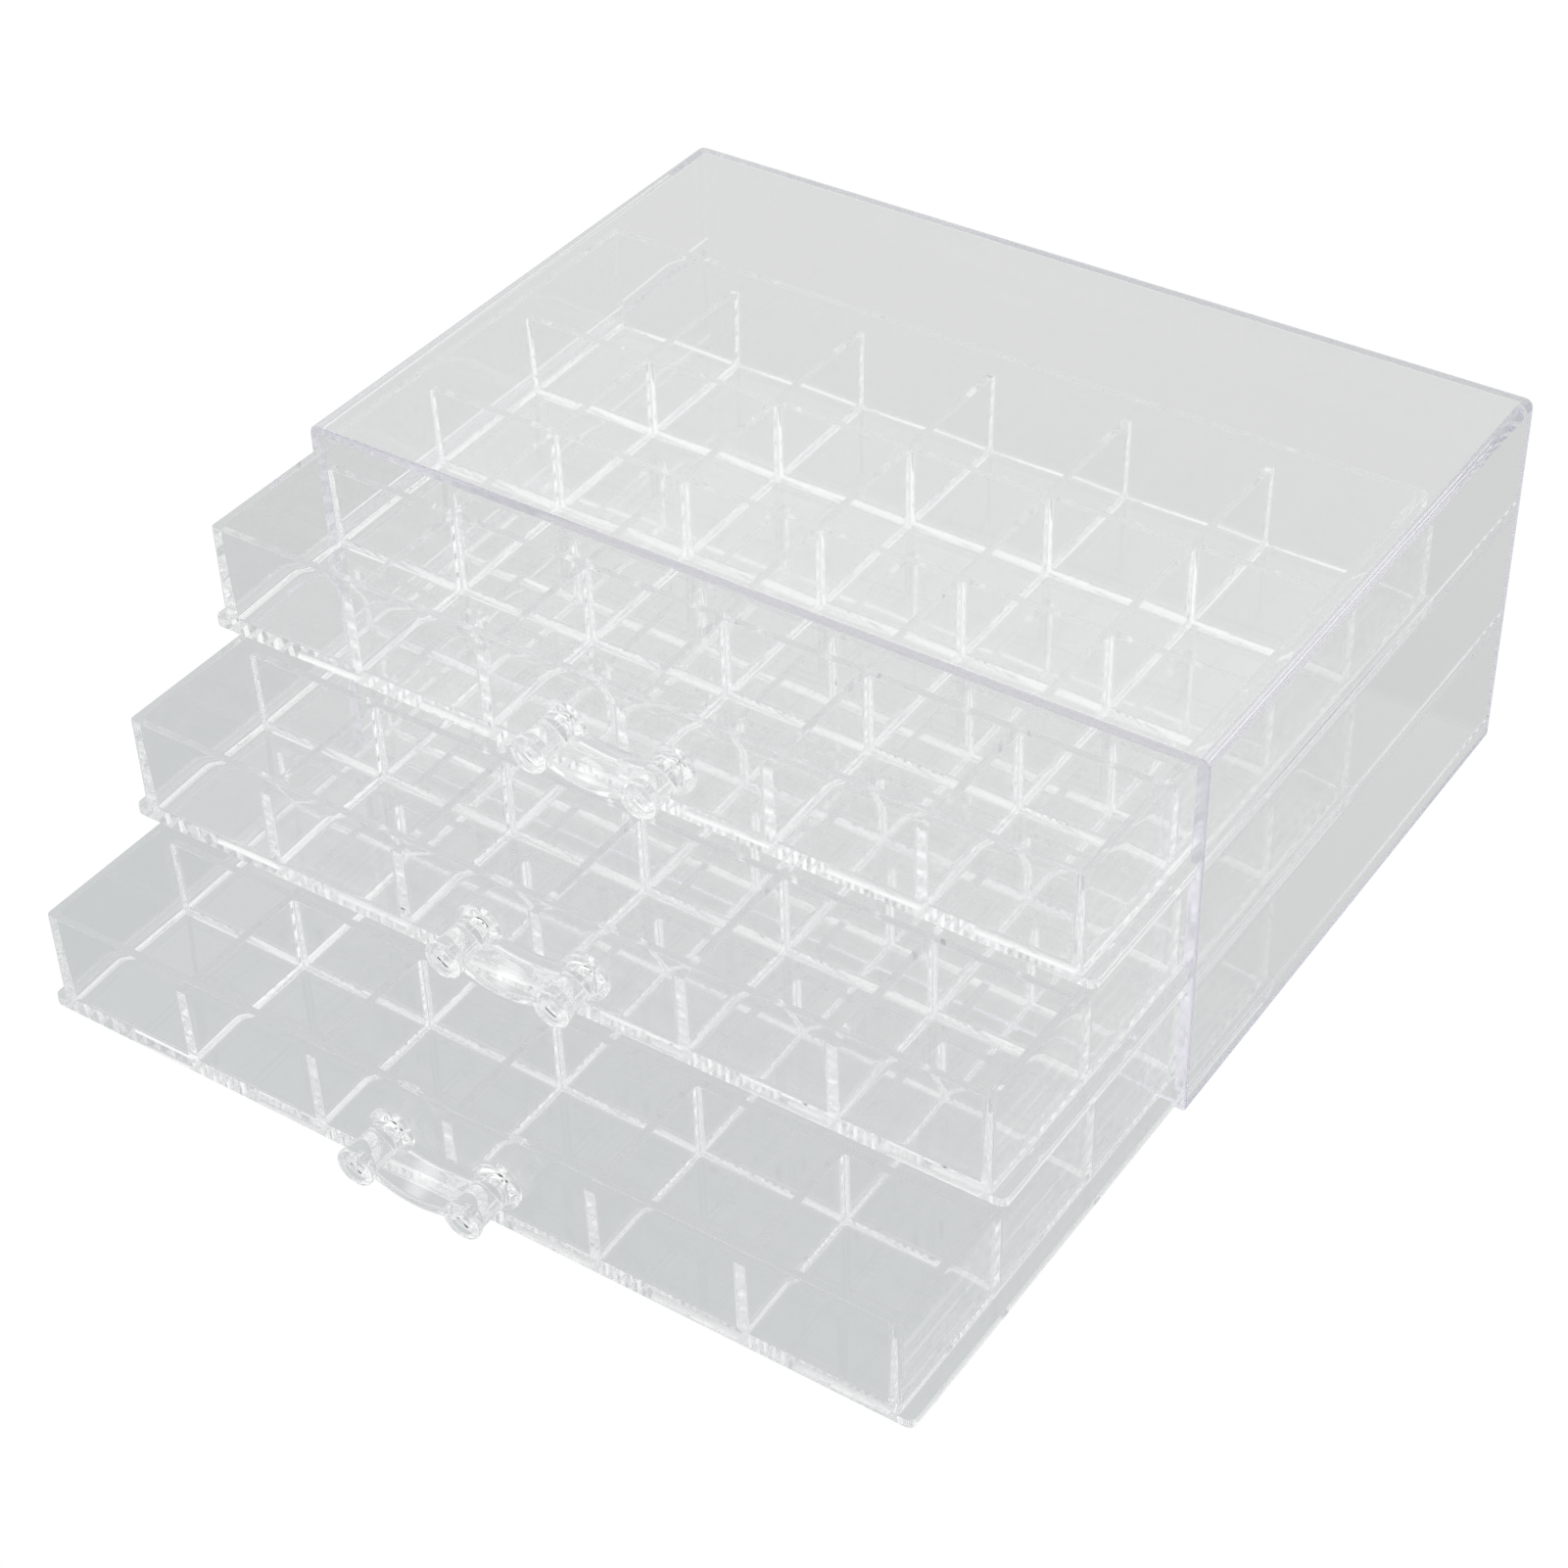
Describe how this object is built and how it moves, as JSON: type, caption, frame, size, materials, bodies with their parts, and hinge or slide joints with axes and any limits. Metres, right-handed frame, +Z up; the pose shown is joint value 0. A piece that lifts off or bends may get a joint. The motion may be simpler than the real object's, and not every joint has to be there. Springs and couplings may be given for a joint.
{
  "type": "clear three-drawer jewellery box",
  "caption": "Clear acrylic box with three shallow drawers that slide out on side grooves; each drawer has a bow handle and a grid of small square compartments.",
  "frame": {"origin": "middle of the case's underside, the face that it rests on", "axes": "+X to the right seen from the front, +Y from the drawer fronts to the back wall, +Z up; the drawers open towards -Y"},
  "size_m": [0.235, 0.2802, 0.098],
  "materials": {
    "case_acrylic": "clear, polished, faint violet cast in the thick edges",
    "drawer_acrylic": "clear, polished, neutral",
    "handle_acrylic": "clear, polished",
    "pin_acrylic": "clear, glossy"
  },
  "bodies": {
    "case": {"case": "case_acrylic"},
    "bottom_drawer": {"bottom_drawer_tray": "drawer_acrylic", "bottom_drawer_handle": "handle_acrylic", "bottom_drawer_handle_pins": "pin_acrylic", "bottom_drawer_column_divider_1": "drawer_acrylic", "bottom_drawer_column_divider_2": "drawer_acrylic", "bottom_drawer_column_divider_3": "drawer_acrylic", "bottom_drawer_column_divider_4": "drawer_acrylic", "bottom_drawer_column_divider_5": "drawer_acrylic", "bottom_drawer_row_divider_1": "drawer_acrylic", "bottom_drawer_row_divider_2": "drawer_acrylic", "bottom_drawer_row_divider_3": "drawer_acrylic"},
    "middle_drawer": {"middle_drawer_tray": "drawer_acrylic", "middle_drawer_handle": "handle_acrylic", "middle_drawer_handle_pins": "pin_acrylic", "middle_drawer_column_divider_1": "drawer_acrylic", "middle_drawer_column_divider_2": "drawer_acrylic", "middle_drawer_column_divider_3": "drawer_acrylic", "middle_drawer_column_divider_4": "drawer_acrylic", "middle_drawer_column_divider_5": "drawer_acrylic", "middle_drawer_row_divider_1": "drawer_acrylic", "middle_drawer_row_divider_2": "drawer_acrylic", "middle_drawer_row_divider_3": "drawer_acrylic"},
    "top_drawer": {"top_drawer_tray": "drawer_acrylic", "top_drawer_handle": "handle_acrylic", "top_drawer_handle_pins": "pin_acrylic", "top_drawer_column_divider_1": "drawer_acrylic", "top_drawer_column_divider_2": "drawer_acrylic", "top_drawer_column_divider_3": "drawer_acrylic", "top_drawer_column_divider_4": "drawer_acrylic", "top_drawer_column_divider_5": "drawer_acrylic", "top_drawer_row_divider_1": "drawer_acrylic", "top_drawer_row_divider_2": "drawer_acrylic", "top_drawer_row_divider_3": "drawer_acrylic"}
  },
  "joints": [
    {"name": "bottom_drawer_slide", "type": "slide", "parent": "case", "child": "bottom_drawer", "axis": [0, -1, 0], "range_m": [-0.1105, 0.0216]},
    {"name": "middle_drawer_slide", "type": "slide", "parent": "case", "child": "middle_drawer", "axis": [0, -1, 0], "range_m": [-0.0763, 0.0558]},
    {"name": "top_drawer_slide", "type": "slide", "parent": "case", "child": "top_drawer", "axis": [0, -1, 0], "range_m": [-0.0428, 0.0893]}
  ]
}
